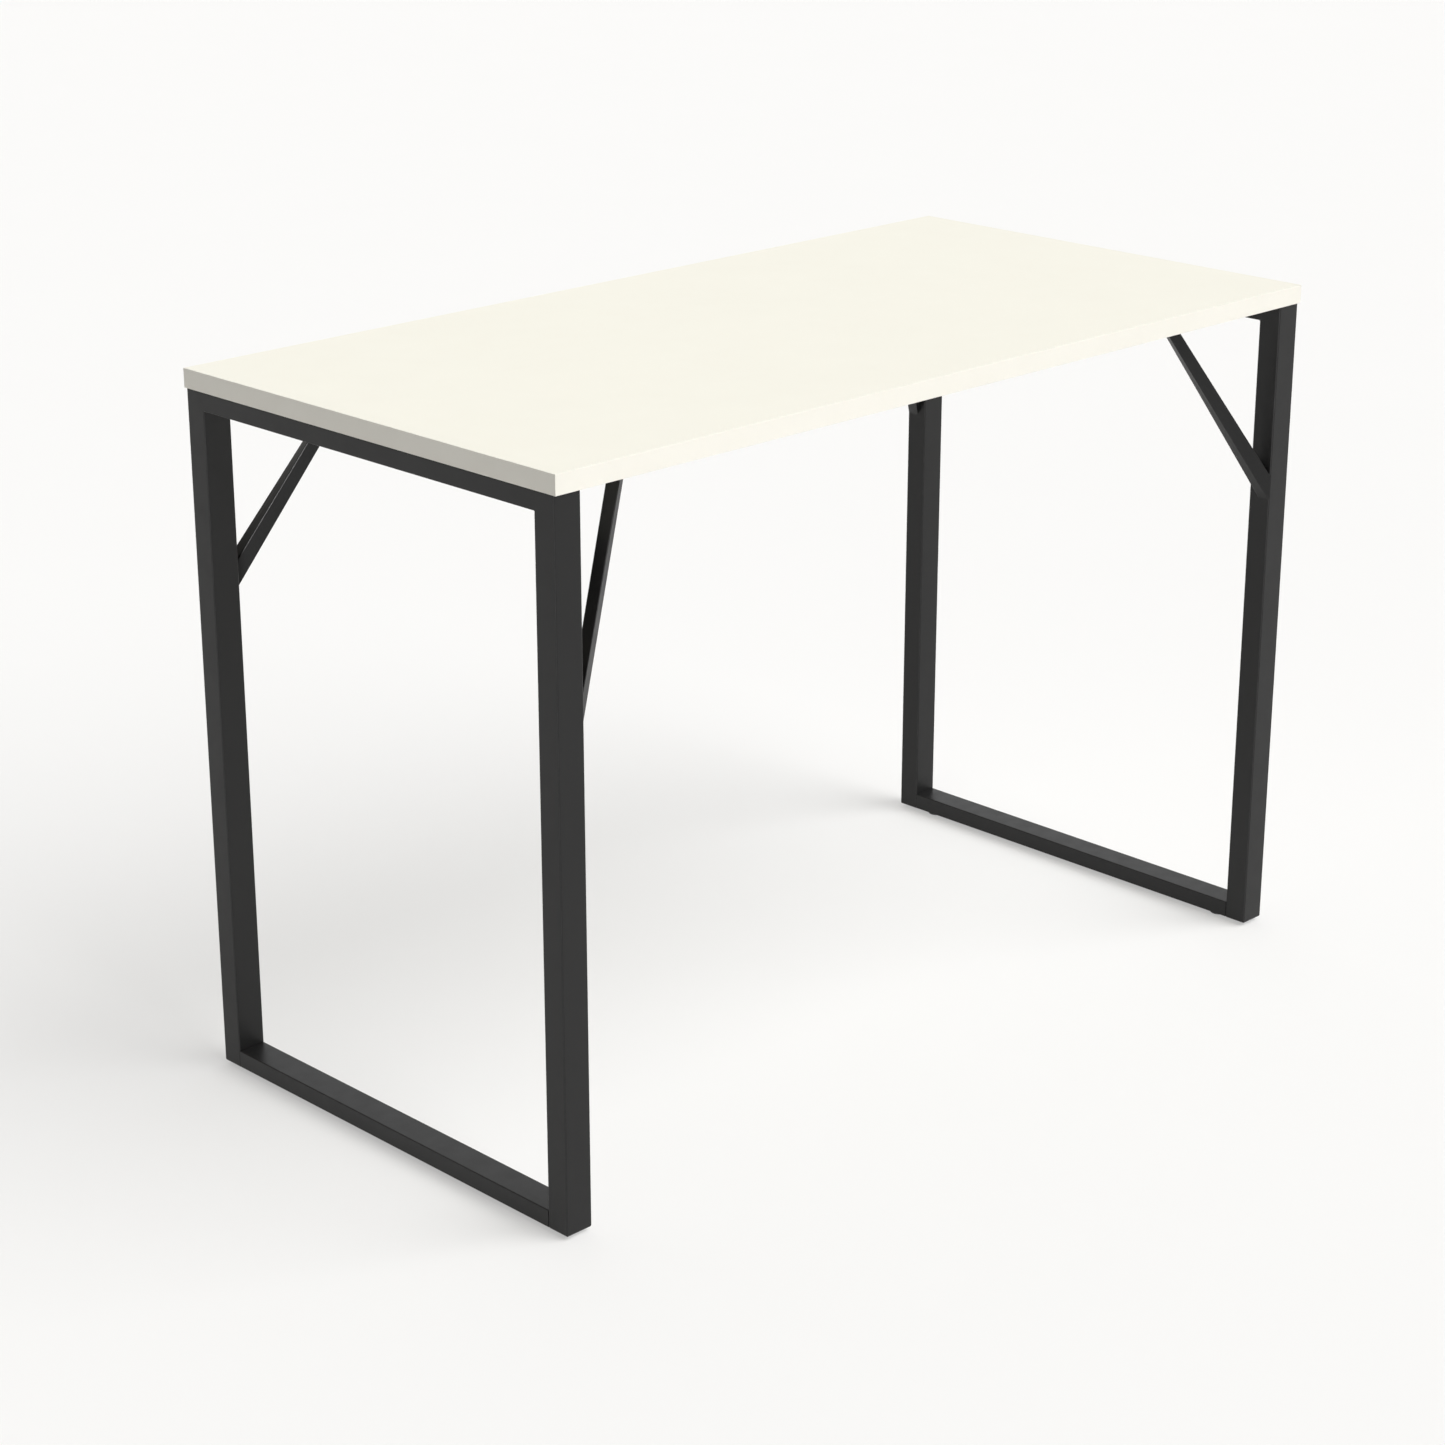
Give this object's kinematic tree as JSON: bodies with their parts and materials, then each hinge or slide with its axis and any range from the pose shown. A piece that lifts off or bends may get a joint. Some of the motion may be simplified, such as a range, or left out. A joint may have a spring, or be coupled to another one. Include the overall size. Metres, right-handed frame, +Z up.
{
  "type": "desk",
  "caption": "Rectangular desk: ivory laminate top on two black steel end frames, with slim tapered diagonal braces and screw-in levelling glides.",
  "frame": {"origin": "on the floor, under the middle of the top", "axes": "+X along the top's length, -Y towards the person who sits at it, +Z up"},
  "size_m": [1.1, 0.55, 0.759],
  "materials": {
    "laminate": "ivory melamine laminate on particleboard, fine matte texture",
    "edge_banding": "ivory plastic edge band, satin",
    "powder_coated_steel": "black powder coat, fine satin texture",
    "black_plastic": "moulded black plastic, matte",
    "zinc_plated_steel": "bright zinc plate"
  },
  "bodies": {
    "desk": {"desktop_panel": "laminate", "edge_band_front": "edge_banding", "edge_band_rear": "edge_banding", "edge_band_left": "edge_banding", "edge_band_right": "edge_banding", "leg_front_left": "powder_coated_steel", "leg_rear_left": "powder_coated_steel", "top_rail_left": "powder_coated_steel", "bottom_rail_left": "powder_coated_steel", "leg_front_right": "powder_coated_steel", "leg_rear_right": "powder_coated_steel", "top_rail_right": "powder_coated_steel", "bottom_rail_right": "powder_coated_steel", "brace_front_left": "powder_coated_steel", "brace_plate_front_left": "powder_coated_steel", "brace_rear_left": "powder_coated_steel", "brace_plate_rear_left": "powder_coated_steel", "brace_front_right": "powder_coated_steel", "brace_plate_front_right": "powder_coated_steel", "brace_rear_right": "powder_coated_steel", "brace_plate_rear_right": "powder_coated_steel", "leg_cap_front_left": "black_plastic", "leg_cap_rear_left": "black_plastic", "leg_cap_front_right": "black_plastic", "leg_cap_rear_right": "black_plastic", "rail_screw_left_1": "zinc_plated_steel", "rail_screw_left_2": "zinc_plated_steel", "rail_screw_left_3": "zinc_plated_steel", "rail_screw_right_1": "zinc_plated_steel", "rail_screw_right_2": "zinc_plated_steel", "rail_screw_right_3": "zinc_plated_steel", "plate_screw_front_left_1": "zinc_plated_steel", "plate_screw_front_left_2": "zinc_plated_steel", "plate_screw_rear_left_1": "zinc_plated_steel", "plate_screw_rear_left_2": "zinc_plated_steel", "plate_screw_front_right_1": "zinc_plated_steel", "plate_screw_front_right_2": "zinc_plated_steel", "plate_screw_rear_right_1": "zinc_plated_steel", "plate_screw_rear_right_2": "zinc_plated_steel", "threaded_insert_front_left": "zinc_plated_steel", "threaded_insert_rear_left": "zinc_plated_steel", "threaded_insert_front_right": "zinc_plated_steel", "threaded_insert_rear_right": "zinc_plated_steel"},
    "leveller_front_left": {"glide_foot_front_left": "black_plastic", "glide_stud_front_left": "zinc_plated_steel"},
    "leveller_rear_left": {"glide_foot_rear_left": "black_plastic", "glide_stud_rear_left": "zinc_plated_steel"},
    "leveller_front_right": {"glide_foot_front_right": "black_plastic", "glide_stud_front_right": "zinc_plated_steel"},
    "leveller_rear_right": {"glide_foot_rear_right": "black_plastic", "glide_stud_rear_right": "zinc_plated_steel"}
  },
  "joints": [
    {"name": "leveller_travel_front_left", "type": "slide", "parent": "desk", "child": "leveller_front_left", "axis": [0, 0, -1], "range_m": [0, 0.01]},
    {"name": "leveller_travel_rear_left", "type": "slide", "parent": "desk", "child": "leveller_rear_left", "axis": [0, 0, -1], "range_m": [0, 0.01]},
    {"name": "leveller_travel_front_right", "type": "slide", "parent": "desk", "child": "leveller_front_right", "axis": [0, 0, -1], "range_m": [0, 0.01]},
    {"name": "leveller_travel_rear_right", "type": "slide", "parent": "desk", "child": "leveller_rear_right", "axis": [0, 0, -1], "range_m": [0, 0.01]}
  ]
}
